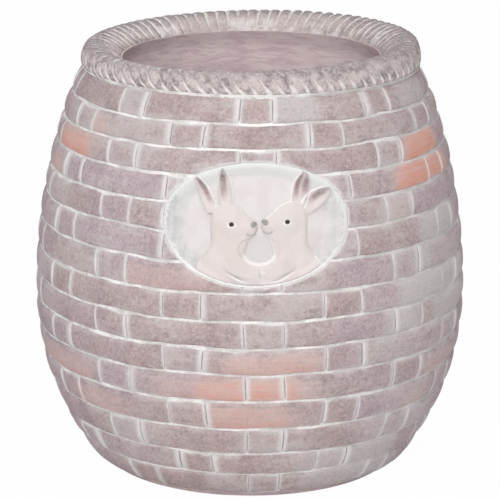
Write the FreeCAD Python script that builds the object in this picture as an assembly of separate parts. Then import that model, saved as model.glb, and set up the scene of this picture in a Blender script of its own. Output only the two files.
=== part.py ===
import FreeCAD
import Part
import math
import os

Vector = FreeCAD.Vector

# A barrel-shaped flower pot faced with brick tiles. Millimetres, +Z up, the foot at Z = 0, the front at -Y.

# The wall's outline over the brick faces
BELLY_RADIUS = 135.0
BELLY_HEIGHT = 108.0
FOOT_INSET = 39.0
SHOULDER_INSET = 20.0
UPPER_RISE = 120.0
SHOULDER_RISE = 22.0
SHOULDER_ARC = 105.0

# Layers of the wall, from the faces inwards
BRICK_THICKNESS = 3.0
MORTAR_THICKNESS = 1.5
CORE_WALL = 9.0
BOND_GAP = 0.2

# Floor, foot, drain and collar
FLOOR_THICKNESS = 14.0
FOOT_RING = 16.0
FOOT_HOLLOW = 2.5
DRAIN_RADIUS = 10.0
INSIDE_ROUND = 8.0
COLLAR_RADIUS = 83.0
COLLAR_DEPTH = 24.0
COLLAR_FOOT_HEIGHT = 200.0
COLLAR_COVE = 2.0

# Brick tiles in Flemish bond
COURSE_SHARES = (15.5, 15.5, 16.0, 16.5, 17.0, 17.5, 18.0, 17.0, 16.5, 17.0, 18.0, 19.5, 20.0, 18.0, 20.0)
PAIRS_PER_COURSE = 9
HEADER_SHARE = 0.243
FRONT_STRETCH = 0.05
FIRST_TURN = 1.8
TURN_PER_COURSE = 0.23
BED_JOINT = 1.8
PERPEND_JOINT = 3.0
BRICK_CROWN = 0.9
HEADER_SET_BACK = 0.4
FOOT_REVEAL = 3.0
LEAST_BRICK = 0.12

# Rope moulding on the rim
ROPE_WIDTH = 24.0
ROPE_HEIGHT = 20.0
ROPE_OVERHANG = 0.8
ROPE_RIBS = 84
ROPE_SLANT = 28.0
ROPE_GROOVE = 0.9
RIM_DROP = 2.2

# The rope's section from its outer foot over its crest to its inner foot, in arcs of three points. Each point
# is a share of the width, from the inside outwards, and of the height.
ROPE_SECTION = (
    (0.84, 0.0), (1.0, 0.4), (0.96, 0.72), (0.87, 0.95), (0.69, 1.0),
    (0.38, 0.79), (0.06, 0.46), (0.0, 0.22), (0.08, 0.0),
)

# Oval plaque in the front
PLAQUE_WIDTH = 109.0
PLAQUE_HEIGHT = 72.0
PLAQUE_RISE = 71.8
PLAQUE_TURN = 1.5
PLAQUE_JOINT = 0.4
PLAQUE_FACE_DEPTH = 0.8
PLAQUE_FIELD_DEPTH = 6.4
PLAQUE_PANEL = 2.4
PLAQUE_BORDER = 2.0
PLAQUE_BEVEL = 5.0

# A rabbit in relief: each lobe's place and half size as shares of the plaque's sunk field, its lean outwards
# in degrees, and its share of the relief. Places are counted from the middle of the field.
RABBIT_RELIEF = 4.2
RABBIT_LOBES = {
    "head": (0.40, 0.00, 0.26, 0.42, 3.0, 1.0),
    "muzzle": (0.19, -0.07, 0.17, 0.24, 2.0, 0.92),
    "neck": (0.43, -0.43, 0.225, 0.43, 5.0, 0.82),
    "near ear": (0.50, 0.66, 0.105, 0.40, 6.0, 0.70),
    "far ear": (0.72, 0.50, 0.095, 0.38, 34.0, 0.62),
    "body": (0.52, -0.78, 0.31, 0.44, -14.0, 0.84),
    "arm": (0.24, -0.78, 0.22, 0.17, 14.0, 0.96),
}

# Drain plug
PLUG_CLEARANCE = 0.3
PLUG_FLANGE = 6.0
PLUG_FLANGE_THICKNESS = 3.0
PLUG_KNOB_RADIUS = 5.0
PLUG_KNOB_HEIGHT = 8.0
PLUG_ROUND = 1.0

# Worked out from the sizes above
LOWER_ARC = (BELLY_HEIGHT ** 2 + FOOT_INSET ** 2) / (2 * FOOT_INSET)
UPPER_ARC = (UPPER_RISE ** 2 + SHOULDER_INSET ** 2) / (2 * SHOULDER_INSET)
SHOULDER_ANGLE = math.asin(UPPER_RISE / UPPER_ARC)
NECK_ANGLE = math.asin(math.sin(SHOULDER_ANGLE) + SHOULDER_RISE / SHOULDER_ARC)
SHOULDER_HEIGHT = BELLY_HEIGHT + UPPER_RISE
NECK_HEIGHT = SHOULDER_HEIGHT + SHOULDER_RISE
FOOT_ANGLE = -math.asin((BELLY_HEIGHT - FOOT_REVEAL) / LOWER_ARC)
LOWER_CENTRE = (BELLY_RADIUS - LOWER_ARC, BELLY_HEIGHT)
UPPER_CENTRE = (BELLY_RADIUS - UPPER_ARC, BELLY_HEIGHT)
SHOULDER_CENTRE = (
    UPPER_CENTRE[0] + (UPPER_ARC - SHOULDER_ARC) * math.cos(SHOULDER_ANGLE),
    UPPER_CENTRE[1] + (UPPER_ARC - SHOULDER_ARC) * math.sin(SHOULDER_ANGLE),
)
SHOULDER_LENGTH = SHOULDER_ARC * (NECK_ANGLE - SHOULDER_ANGLE)
UPPER_LENGTH = UPPER_ARC * SHOULDER_ANGLE
BRICKWORK_LENGTH = SHOULDER_LENGTH + UPPER_LENGTH - LOWER_ARC * FOOT_ANGLE
NECK_RADIUS = SHOULDER_CENTRE[0] + SHOULDER_ARC * math.cos(NECK_ANGLE)
MORTAR_DEPTH = BRICK_THICKNESS + BOND_GAP
CORE_DEPTH = MORTAR_DEPTH + MORTAR_THICKNESS + BOND_GAP
INSIDE_DEPTH = CORE_DEPTH + CORE_WALL
RIM_HEIGHT = NECK_HEIGHT - RIM_DROP
ROPE_RADIUS = NECK_RADIUS + ROPE_OVERHANG - ROPE_WIDTH / 2
ROPE_FOOT_HEIGHT = RIM_HEIGHT + BOND_GAP
PLAQUE_CENTRE_HEIGHT = BELLY_HEIGHT + PLAQUE_RISE
PLAQUE_BACK_DEPTH = PLAQUE_FIELD_DEPTH + PLAQUE_PANEL
BORDER_WIDTH = PLAQUE_WIDTH - 2 * PLAQUE_JOINT
BORDER_HEIGHT = PLAQUE_HEIGHT - 2 * PLAQUE_JOINT
FIELD_WIDTH = BORDER_WIDTH - 2 * (PLAQUE_BORDER + PLAQUE_BEVEL)
FIELD_HEIGHT = BORDER_HEIGHT - 2 * (PLAQUE_BORDER + PLAQUE_BEVEL)
OUTSIDE = 1.1 * BELLY_RADIUS
FRONT = -90.0


def arc_at(angle):
    """The wall's arc that holds this angle of the outward normal: its centre and radius over the faces."""
    if angle > SHOULDER_ANGLE:
        return SHOULDER_CENTRE, SHOULDER_ARC
    if angle > 0:
        return UPPER_CENTRE, UPPER_ARC
    return LOWER_CENTRE, LOWER_ARC


def wall_point(angle, depth):
    """A point of the wall's section, at a depth under the brick faces."""
    centre, radius = arc_at(angle)
    reach = radius - depth
    return Vector(centre[0] + reach * math.cos(angle), 0, centre[1] + reach * math.sin(angle))


def angle_at_height(height, depth):
    """The angle of the outward normal where the wall at this depth has this height."""
    if height >= wall_point(SHOULDER_ANGLE, depth).z:
        centre, radius = SHOULDER_CENTRE, SHOULDER_ARC
    elif height >= BELLY_HEIGHT:
        centre, radius = UPPER_CENTRE, UPPER_ARC
    else:
        centre, radius = LOWER_CENTRE, LOWER_ARC
    return math.asin((height - centre[1]) / (radius - depth))


def angle_along(distance):
    """The angle of the normal at a distance down the faces from the top of the brickwork."""
    if distance < SHOULDER_LENGTH:
        return NECK_ANGLE - distance / SHOULDER_ARC
    if distance < SHOULDER_LENGTH + UPPER_LENGTH:
        return SHOULDER_ANGLE - (distance - SHOULDER_LENGTH) / UPPER_ARC
    return -(distance - SHOULDER_LENGTH - UPPER_LENGTH) / LOWER_ARC


def wall_edges(top_angle, foot_angle, depth):
    """The wall's section at one depth as tangent arcs, from the top down."""
    breaks = [top_angle, foot_angle]
    breaks[1:1] = [angle for angle in (SHOULDER_ANGLE, 0.0) if angle < top_angle]
    edges = []
    for upper, lower in zip(breaks, breaks[1:]):
        points = [wall_point(angle, depth) for angle in (upper, (upper + lower) / 2, lower)]
        edges.append(Part.Arc(*points).toShape())
    return edges


def line(start, end):
    return Part.makeLine(start, end)


def revolve(edges, turn=360.0):
    """A solid of revolution about Z from a closed section of edges in the XZ plane."""
    section = Part.Face(Part.Wire(Part.__sortEdges__(edges)))
    return section.revolve(Vector(0, 0, 0), Vector(0, 0, 1), turn)


def solid_inside(depth):
    """Everything inside the wall at this depth, from the foot to the rim."""
    top = wall_point(NECK_ANGLE, depth)
    foot = wall_point(FOOT_ANGLE, depth)
    edges = wall_edges(NECK_ANGLE, FOOT_ANGLE, depth)
    edges.append(line(foot, Vector(0, 0, foot.z)))
    edges.append(line(Vector(0, 0, foot.z), Vector(0, 0, top.z)))
    edges.append(line(Vector(0, 0, top.z), top))
    return revolve(edges)


def oval_prism(width, height):
    """An oval prism that passes out through the front of the wall at the plaque's place."""
    major = Vector(width / 2, 0, 0)
    minor = Vector(0, 0, height / 2)
    wire = Part.Wire(Part.Ellipse(major, minor, Vector(0, 0, 0)).toShape())
    prism = Part.Face(wire).extrude(Vector(0, -OUTSIDE, 0))
    prism.translate(Vector(0, 0, PLAQUE_CENTRE_HEIGHT))
    return turned(prism, PLAQUE_TURN)


def turned(shape, degrees):
    """A copy of the shape turned about the pot's axis."""
    copy = shape.copy()
    copy.rotate(Vector(0, 0, 0), Vector(0, 0, 1), degrees)
    return copy


def make_core(pocket):
    """The cast pot: a curved wall, a floor with a drain hole, a hollow foot and a thick collar at the rim."""
    outer_top = angle_at_height(RIM_HEIGHT, CORE_DEPTH)
    outer_foot = angle_at_height(0.0, CORE_DEPTH)
    inner_foot = angle_at_height(FLOOR_THICKNESS, INSIDE_DEPTH)
    outer = wall_edges(outer_top, outer_foot, CORE_DEPTH)
    collar_angle = angle_at_height(COLLAR_FOOT_HEIGHT, INSIDE_DEPTH)
    inner = wall_edges(collar_angle, inner_foot, INSIDE_DEPTH)
    collar_foot = wall_point(collar_angle, INSIDE_DEPTH)
    collar_edge = Vector(COLLAR_RADIUS, 0, RIM_HEIGHT - COLLAR_DEPTH)
    collar_top = Vector(COLLAR_RADIUS, 0, RIM_HEIGHT)
    cove = (collar_foot + collar_edge) * 0.5 + Vector(COLLAR_COVE, 0, COLLAR_COVE)
    foot = wall_point(outer_foot, CORE_DEPTH)
    ring_inside = foot.x - FOOT_RING
    floor = wall_point(inner_foot, INSIDE_DEPTH)
    corners = [
        floor,
        Vector(DRAIN_RADIUS, 0, FLOOR_THICKNESS),
        Vector(DRAIN_RADIUS, 0, FOOT_HOLLOW),
        Vector(ring_inside, 0, FOOT_HOLLOW),
        Vector(ring_inside, 0, 0),
        foot,
    ]
    edges = outer + inner
    edges += [line(start, end) for start, end in zip(corners, corners[1:])]
    edges.append(Part.Arc(collar_foot, cove, collar_edge).toShape())
    edges.append(line(collar_edge, collar_top))
    edges.append(line(collar_top, wall_point(outer_top, CORE_DEPTH)))
    core = revolve(edges)
    round_edge = [edge for edge in core.Edges if is_circle(edge, floor.x, floor.z)]
    core = core.makeFillet(INSIDE_ROUND, round_edge)
    return core.cut(pocket)


def is_circle(edge, radius, height):
    """Whether an edge is the circle round the pot's axis with this radius and height."""
    box = edge.BoundBox
    flat = box.ZLength < 0.001 and abs(box.ZMin - height) < 0.001
    return flat and abs(box.XMax - radius) < 0.001


def make_mortar_bed(pocket):
    """The coat of mortar that the tiles are pressed into, level with the rim of the casting."""
    tops = []
    feet = []
    edges = []
    for depth in (MORTAR_DEPTH, MORTAR_DEPTH + MORTAR_THICKNESS):
        top_angle = angle_at_height(RIM_HEIGHT, depth)
        edges += wall_edges(top_angle, FOOT_ANGLE, depth)
        tops.append(wall_point(top_angle, depth))
        feet.append(wall_point(FOOT_ANGLE, depth))
    edges += [line(*tops), line(*feet)]
    return revolve(edges).cut(pocket)


def make_brick(top, foot, start, end, face_depth):
    """One tile: a crowned face between two distances down the wall and two angles round it, in degrees."""
    middle = (top + foot) / 2
    crown_depth = face_depth + BRICK_CROWN
    back = [wall_point(angle_along(place), BRICK_THICKNESS) for place in (top, middle, foot)]
    face_foot = wall_point(angle_along(foot), crown_depth)
    face_middle = wall_point(angle_along(middle), face_depth)
    face_top = wall_point(angle_along(top), crown_depth)
    edges = [
        Part.Arc(*back).toShape(),
        line(back[2], face_foot),
        Part.Arc(face_foot, face_middle, face_top).toShape(),
        line(face_top, back[0]),
    ]
    joint = math.degrees(PERPEND_JOINT / face_middle.x)
    return turned(revolve(edges, end - start - joint), start + joint / 2 + FRONT)


def laid_angle(share, course):
    """The angle round the wall of a place in the bond, counted in pairs from the front, in degrees."""
    even = 2 * math.pi * share / PAIRS_PER_COURSE
    return math.degrees(even + FRONT_STRETCH * math.sin(even)) + FIRST_TURN + TURN_PER_COURSE * course


def make_course(course, opening):
    """One course of tiles, a header and a stretcher in turn, cut to the plaque's oval where they meet it."""
    unit = BRICKWORK_LENGTH / sum(COURSE_SHARES)
    top = unit * sum(COURSE_SHARES[:course]) + BED_JOINT / 2
    foot = unit * sum(COURSE_SHARES[:course + 1]) - BED_JOINT / 2
    stagger = 0.5 * (course % 2)
    tiles = []
    for pair in range(PAIRS_PER_COURSE):
        middle = pair + stagger
        header_start = laid_angle(middle - HEADER_SHARE / 2, course)
        header_end = laid_angle(middle + HEADER_SHARE / 2, course)
        next_start = laid_angle(middle + 1 - HEADER_SHARE / 2, course)
        tiles.append(make_brick(top, foot, header_start, header_end, HEADER_SET_BACK))
        tiles.append(make_brick(top, foot, header_end, next_start, 0.0))
    kept = []
    for tile in tiles:
        pieces = [tile]
        if tile.BoundBox.intersect(opening.BoundBox):
            pieces = tile.cut(opening).Solids
        kept += [piece for piece in pieces if piece.Volume > LEAST_BRICK * tile.Volume]
    return Part.makeCompound(kept)


def make_rope():
    """The rope moulding: slanting ribs round a wide ring, ruled from each groove to the next crest."""
    steps = 2 * ROPE_RIBS
    sections = []
    for step in range(steps):
        sunk = ROPE_GROOVE * (step % 2)
        sections.append(rope_section(2 * math.pi * step / steps, sunk))
    return Part.makeLoft(sections, True, True, True)


def rope_section(angle, sunk):
    """One slanted section of the rope, sunk below the crests, with a flat foot on the rim."""
    outward = Vector(math.cos(angle), math.sin(angle), 0)
    along = Vector(-math.sin(angle), math.cos(angle), 0)
    size = 1 - sunk / ROPE_HEIGHT
    points = []
    for across, up in ROPE_SECTION:
        radius = ROPE_RADIUS + (across - 0.5) * ROPE_WIDTH * size
        height = up * ROPE_HEIGHT * size
        slant = (height - ROPE_HEIGHT / 2) * math.tan(math.radians(ROPE_SLANT))
        points.append(outward * radius - along * slant + Vector(0, 0, ROPE_FOOT_HEIGHT + height))
    edges = [Part.Arc(*points[start:start + 3]).toShape() for start in range(0, 8, 2)]
    edges.append(line(points[-1], points[0]))
    return Part.Wire(edges)


def make_plaque():
    """The oval plaque: a bevelled border round a sunk field that follows the wall's curve."""
    blank = oval_prism(BORDER_WIDTH, BORDER_HEIGHT).common(solid_inside(PLAQUE_FACE_DEPTH))
    blank = blank.cut(solid_inside(PLAQUE_BACK_DEPTH))
    field = oval_prism(FIELD_WIDTH, FIELD_HEIGHT).cut(solid_inside(PLAQUE_FIELD_DEPTH))
    plaque = blank.cut(field)
    ovals = [edge for edge in plaque.Edges if abs(edge.BoundBox.ZLength - FIELD_HEIGHT) < PLAQUE_JOINT]
    lip = min(ovals, key=lambda edge: edge.BoundBox.YMin)
    return plaque.makeChamfer(PLAQUE_BEVEL, [lip]).Solids[0]


def make_rabbit(plaque):
    """The right rabbit in low relief: rounded lobes on the plaque's field, without the slivers past its bevel."""
    lobes = []
    for across, up, half_width, half_height, lean, relief_share in RABBIT_LOBES.values():
        height = PLAQUE_CENTRE_HEIGHT + up * FIELD_HEIGHT / 2
        slope = angle_at_height(height, PLAQUE_FIELD_DEPTH)
        radius = wall_point(slope, PLAQUE_FIELD_DEPTH).x
        stretch = FreeCAD.Matrix()
        relief = relief_share * RABBIT_RELIEF
        stretch.scale(half_width * FIELD_WIDTH / 2, relief, half_height * FIELD_HEIGHT / 2)
        lobe = Part.makeSphere(1.0).transformGeometry(stretch)
        lobe.rotate(Vector(0, 0, 0), Vector(0, 1, 0), lean)
        lobe.rotate(Vector(0, 0, 0), Vector(1, 0, 0), -math.degrees(slope))
        lobe.translate(Vector(0, -radius, height))
        turn = math.degrees(across * FIELD_WIDTH / 2 / radius)
        lobes.append(turned(lobe, PLAQUE_TURN + turn))
    figure = lobes[0].multiFuse(lobes[1:]).cut(plaque)
    figure = figure.cut(solid_inside(PLAQUE_FIELD_DEPTH - BOND_GAP))
    return max(figure.Solids, key=lambda piece: piece.Volume)


def make_plug():
    """The rubber plug: a shank in the drain hole, a flange on the floor and a knob to lift it by."""
    shank = DRAIN_RADIUS - PLUG_CLEARANCE
    flange = DRAIN_RADIUS + PLUG_FLANGE
    seat = FLOOR_THICKNESS
    flange_top = seat + PLUG_FLANGE_THICKNESS
    knob_top = flange_top + PLUG_KNOB_HEIGHT
    section = Part.makePolygon([
        Vector(0, 0, FOOT_HOLLOW),
        Vector(shank, 0, FOOT_HOLLOW),
        Vector(shank, 0, seat),
        Vector(flange, 0, seat),
        Vector(flange, 0, flange_top),
        Vector(PLUG_KNOB_RADIUS, 0, flange_top),
        Vector(PLUG_KNOB_RADIUS, 0, knob_top),
        Vector(0, 0, knob_top),
        Vector(0, 0, FOOT_HOLLOW),
    ])
    plug = Part.Face(section).revolve(Vector(0, 0, 0), Vector(0, 0, 1), 360)
    edges = [edge for edge in plug.Edges if is_circle(edge, PLUG_KNOB_RADIUS, knob_top)]
    edges += [edge for edge in plug.Edges if is_circle(edge, flange, flange_top)]
    return plug.makeFillet(PLUG_ROUND, edges)


os.makedirs("parts", exist_ok=True)
opening = oval_prism(PLAQUE_WIDTH, PLAQUE_HEIGHT)
pocket = opening.cut(solid_inside(PLAQUE_BACK_DEPTH + BOND_GAP))
make_core(pocket).exportStep("parts/pot_core.step")
make_mortar_bed(pocket).exportStep("parts/mortar_bed.step")
for course in range(len(COURSE_SHARES)):
    make_course(course, opening).exportStep("parts/brick_course_%02d.step" % (course + 1))
make_rope().exportStep("parts/rope_rim.step")
plaque = make_plaque()
plaque.exportStep("parts/medallion_plaque.step")
rabbit = make_rabbit(plaque)
rabbit.exportStep("parts/right_rabbit.step")
plaque_across = Vector(math.cos(math.radians(PLAQUE_TURN)), math.sin(math.radians(PLAQUE_TURN)), 0)
rabbit.mirror(Vector(0, 0, 0), plaque_across).exportStep("parts/left_rabbit.step")
make_plug().exportStep("parts/drain_plug.step")
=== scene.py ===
import math
import bmesh
import bpy
import numpy as np
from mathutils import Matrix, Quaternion, Vector, noise


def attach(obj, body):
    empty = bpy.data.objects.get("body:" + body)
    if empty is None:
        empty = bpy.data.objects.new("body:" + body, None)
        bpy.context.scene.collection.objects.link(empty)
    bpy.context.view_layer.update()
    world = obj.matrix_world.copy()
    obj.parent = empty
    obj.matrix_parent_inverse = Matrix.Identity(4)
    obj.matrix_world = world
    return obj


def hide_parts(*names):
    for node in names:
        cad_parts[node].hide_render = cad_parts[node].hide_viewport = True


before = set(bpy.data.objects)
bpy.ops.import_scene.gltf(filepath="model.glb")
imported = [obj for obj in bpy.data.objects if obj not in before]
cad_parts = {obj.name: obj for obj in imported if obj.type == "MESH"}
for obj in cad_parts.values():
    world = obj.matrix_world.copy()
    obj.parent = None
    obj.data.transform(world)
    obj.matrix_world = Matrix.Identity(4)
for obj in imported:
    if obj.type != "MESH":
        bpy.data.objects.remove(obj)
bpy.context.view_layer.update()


# Viewpoint, lamps and floor.
# A long lens looks slightly down on the front of the pot. Wide soft lamps stand in front, at both sides and
# overhead, and the pot stands on a plain pale sheet.
CAMERA_PLACE = Vector((0.0, -1.6074, 0.5600))
CAMERA_AIM = Vector((0.0, 0.0, 0.1310))
CAMERA_ROLL = 0.0045
CAMERA_LENS = 189.5
# Each lamp's place, width and power
LAMPS = {
    "lamp_front": ((-0.3, -2.4, 1.5), 1.6, 37.0),
    "lamp_left": ((-2.0, -1.2, 1.0), 1.4, 3.0),
    "lamp_right": ((2.0, -1.2, 1.0), 1.4, 3.4),
    "lamp_above": ((0.0, -0.8, 2.3), 1.6, 14.0),
}
ROOM_LIGHT = 0.385
FLOOR_HALF = 6.0
FLOOR_WHITE = 0.93
FLOOR_GLOW = 0.98


class Wire:
    """One output of a node. Sums, products and the like between wires and numbers add Math nodes."""

    def __init__(self, graph, socket):
        self.graph = graph
        self.socket = socket

    def out(self, name):
        return Wire(self.graph, self.socket.node.outputs[name])

    def math(self, operation, *others):
        return self.graph.node("ShaderNodeMath", {"operation": operation}, dict(enumerate((self,) + others)))

    def before(self, operation, first):
        return self.graph.node("ShaderNodeMath", {"operation": operation}, {0: first, 1: self})

    def most(self, *others):
        """The greatest of this and the others."""
        greatest = self
        for other in others:
            greatest = greatest.math("MAXIMUM", other)
        return greatest

    def least(self, *others):
        """The smallest of this and the others."""
        smallest = self
        for other in others:
            smallest = smallest.math("MINIMUM", other)
        return smallest

    def __add__(self, other):
        return self.math("ADD", other)

    def __sub__(self, other):
        return self.math("SUBTRACT", other)

    def __mul__(self, other):
        return self.math("MULTIPLY", other)

    def __truediv__(self, other):
        return self.math("DIVIDE", other)

    def __pow__(self, other):
        return self.math("POWER", other)

    def __rsub__(self, other):
        return self.before("SUBTRACT", other)

    def __rtruediv__(self, other):
        return self.before("DIVIDE", other)

    __radd__ = __add__
    __rmul__ = __mul__


class Graph:
    """Adds nodes to one tree. node() takes a type, its settings and its sockets, and gives one output."""

    def __init__(self, tree):
        self.tree = tree

    def node(self, kind, settings, sockets, out=0):
        made = self.tree.nodes.new(kind)
        for name, value in settings.items():
            setattr(made, name, value)
        for name, value in sockets.items():
            for one in value if isinstance(value, list) else [value]:
                if isinstance(one, Wire):
                    self.tree.links.new(one.socket, made.inputs[name])
                else:
                    made.inputs[name].default_value = one
        return Wire(self, made.outputs[out]) if made.outputs else made

    def ease(self, value, low, high):
        """0 below low, 1 above high and a smooth step between them."""
        sockets = {"Value": value, "From Min": low, "From Max": high}
        return self.node("ShaderNodeMapRange", {"interpolation_type": "SMOOTHSTEP"}, sockets)

    def fade(self, value, low, high):
        """1 below low, 0 above high and a smooth step between them."""
        return 1 - self.ease(value, low, high)

    def blend(self, share, first, second):
        """A colour between two colours."""
        return self.node("ShaderNodeMix", {"data_type": "RGBA"}, {0: share, 6: first, 7: second}, 2)

    def grain(self, vector, scale, detail=2.0, roughness=0.5):
        """Smooth noise from 0 to 1, with its scale in waves per metre."""
        sockets = {"Vector": vector, "Scale": scale, "Detail": detail, "Roughness": roughness}
        return self.node("ShaderNodeTexNoise", {}, sockets)

    def reading(self, name, out="Fac"):
        """A value that the mesh carries."""
        return self.node("ShaderNodeAttribute", {"attribute_name": name}, {}, out)

    def spot(self):
        """The place on the piece."""
        return self.node("ShaderNodeTexCoord", {}, {}, "Object")

    def stretched(self, vector, *scale):
        """A place with its parts scaled, for noise that runs in strokes."""
        return self.node("ShaderNodeMapping", {}, {"Vector": vector, "Scale": scale})

    def parts(self, vector):
        """The first part of a vector. The other two are outputs of the same node."""
        return self.node("ShaderNodeSeparateXYZ", {}, {"Vector": vector})

    def joined(self, x, y, z):
        return self.node("ShaderNodeCombineXYZ", {}, {0: x, 1: y, 2: z})


def paint(red, green, blue):
    """A colour as it is seen on a screen, from 0 to 255, as a linear colour."""
    seen = np.array((red, green, blue)) / 255
    linear = np.where(seen < 0.04045, seen / 12.92, ((seen + 0.055) / 1.055) ** 2.4)
    return (*linear.tolist(), 1.0)


def finish_of(name):
    """A new material and its empty graph."""
    material = bpy.data.materials.new(name)
    material.use_nodes = True
    material.node_tree.nodes.clear()
    return material, Graph(material.node_tree)


def surface(graph, colour, roughness, height, bump_distance):
    """A matt surface of this colour, with fine relief from a height that is 0 to 1."""
    bump = graph.node("ShaderNodeBump", {}, {"Height": height, "Distance": bump_distance, "Strength": 1.0})
    sockets = {"Base Color": colour, "Roughness": roughness, "Normal": bump, "Specular IOR Level": 0.25}
    shader = graph.node("ShaderNodeBsdfPrincipled", {}, sockets)
    graph.node("ShaderNodeOutputMaterial", {}, {"Surface": shader})


def in_view(graph):
    """1 where the camera looks, straight or by a shine, and 0 where only light is gathered."""
    ray = graph.node("ShaderNodeLightPath", {}, {}, "Is Camera Ray")
    return ray.most(ray.out("Is Glossy Ray"), ray.out("Is Transmission Ray"))


def show(obj):
    bpy.context.scene.collection.objects.link(obj)
    return obj


bpy.context.scene.view_settings.view_transform = "Standard"
camera = show(bpy.data.objects.new("camera", bpy.data.cameras.new("camera")))
camera.data.lens = CAMERA_LENS
camera.location = CAMERA_PLACE
camera.rotation_mode = "QUATERNION"
aim = (CAMERA_AIM - CAMERA_PLACE).to_track_quat("-Z", "Y")
camera.rotation_quaternion = aim @ Quaternion((0, 0, 1), CAMERA_ROLL)
bpy.context.scene.camera = camera

for name, (place, size, power) in LAMPS.items():
    lamp = bpy.data.lights.new(name, "AREA")
    lamp.size = size
    lamp.energy = power
    stand = show(bpy.data.objects.new(name, lamp))
    stand.location = place
    stand.rotation_euler = (CAMERA_AIM - Vector(place)).to_track_quat("-Z", "Y").to_euler()

room = bpy.data.worlds.new("room")
room.use_nodes = True
room.node_tree.nodes.clear()
bpy.context.scene.world = room
graph = Graph(room.node_tree)
strength = in_view(graph) * (1 - ROOM_LIGHT) + ROOM_LIGHT
backdrop = graph.node("ShaderNodeBackground", {}, {"Color": (1, 1, 1, 1), "Strength": strength})
graph.node("ShaderNodeOutputWorld", {}, {"Surface": backdrop})

floor_paint, graph = finish_of("floor_paint")
matt = graph.node("ShaderNodeBsdfDiffuse", {}, {"Color": (FLOOR_WHITE, FLOOR_WHITE, FLOOR_WHITE, 1)})
glow = graph.node("ShaderNodeEmission", {}, {"Color": (1, 1, 1, 1), "Strength": 1.0})
both = graph.node("ShaderNodeMixShader", {}, {0: in_view(graph) * FLOOR_GLOW, 1: matt, 2: glow})
graph.node("ShaderNodeOutputMaterial", {}, {"Surface": both})
corners = [(-FLOOR_HALF, -FLOOR_HALF, 0), (FLOOR_HALF, -FLOOR_HALF, 0)]
corners += [(FLOOR_HALF, FLOOR_HALF, 0), (-FLOOR_HALF, FLOOR_HALF, 0)]
floor_mesh = bpy.data.meshes.new("floor")
floor_mesh.from_pydata(corners, [], [(0, 1, 2, 3)])
floor_mesh.materials.append(floor_paint)
show(bpy.data.objects.new("floor", floor_mesh))


# The cast pot.
# A barrel of cast stone with a thick collar, a floor with a drain hole and a hollow foot. Its inside is
# brushed with a thin mauve wash, and an oval pocket in its front takes the plaque.
MM = 0.001
BELLY_RADIUS = 135 * MM
BELLY_HEIGHT = 108 * MM
FOOT_INSET = 39 * MM
SHOULDER_INSET = 20 * MM
UPPER_RISE = 120 * MM
SHOULDER_RISE = 22 * MM
SHOULDER_ARC = 105 * MM
FOOT_REVEAL = 3 * MM
CORE_DEPTH = 4.9 * MM
INSIDE_DEPTH = 13.9 * MM
RIM_DROP = 2.2 * MM
COLLAR_RADIUS = 83 * MM
COLLAR_DEPTH = 24 * MM
COLLAR_FOOT_HEIGHT = 200 * MM
COLLAR_COVE = 2 * MM
COLLAR_LIP = 8.5 * MM
LIP_LEAN = 3.2 * MM
LIP_TILT = 0.9 * MM
LIP_HIGH_SIDE = math.radians(128)
FLOOR_THICKNESS = 14 * MM
FOOT_RING = 16 * MM
FOOT_HOLLOW = 2.5 * MM
DRAIN_RADIUS = 10 * MM
PLAQUE_HALF_WIDTH = 56.2 * MM
PLAQUE_HALF_HEIGHT = 36.7 * MM
PLAQUE_HEIGHT = 179.8 * MM
PLAQUE_TURN = math.radians(1.5)
PLAQUE_BACK = 8.8 * MM
POCKET_ROOM = 0.2 * MM
EDGE_WIDTH = 1.2 * MM
FOOT_SLOPE = 1.5 * MM
FLOOR_CURVE = 8 * MM
END_MARGIN = 0.8 * MM
BROAD_WAVES = 22
FINE_WAVES = 75
WASH_MAUVE = paint(221, 203, 205)
WASH_DARK = paint(203, 183, 187)
WASH_PALE = paint(229, 214, 214)

LOWER_ARC = (BELLY_HEIGHT ** 2 + FOOT_INSET ** 2) / (2 * FOOT_INSET)
UPPER_ARC = (UPPER_RISE ** 2 + SHOULDER_INSET ** 2) / (2 * SHOULDER_INSET)
SHOULDER_ANGLE = math.asin(UPPER_RISE / UPPER_ARC)
NECK_ANGLE = math.asin(math.sin(SHOULDER_ANGLE) + SHOULDER_RISE / SHOULDER_ARC)
SHOULDER_LENGTH = SHOULDER_ARC * (NECK_ANGLE - SHOULDER_ANGLE)
UPPER_LENGTH = UPPER_ARC * SHOULDER_ANGLE
FOOT_ANGLE = math.asin((BELLY_HEIGHT - FOOT_REVEAL) / LOWER_ARC)
BRICKWORK_LENGTH = SHOULDER_LENGTH + UPPER_LENGTH + LOWER_ARC * FOOT_ANGLE
NECK_HEIGHT = BELLY_HEIGHT + UPPER_RISE + SHOULDER_RISE
PLAQUE_ANGLE = math.asin((PLAQUE_HEIGHT - BELLY_HEIGHT) / UPPER_ARC)
PLAQUE_DISTANCE = SHOULDER_LENGTH + UPPER_LENGTH - UPPER_ARC * PLAQUE_ANGLE


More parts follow.
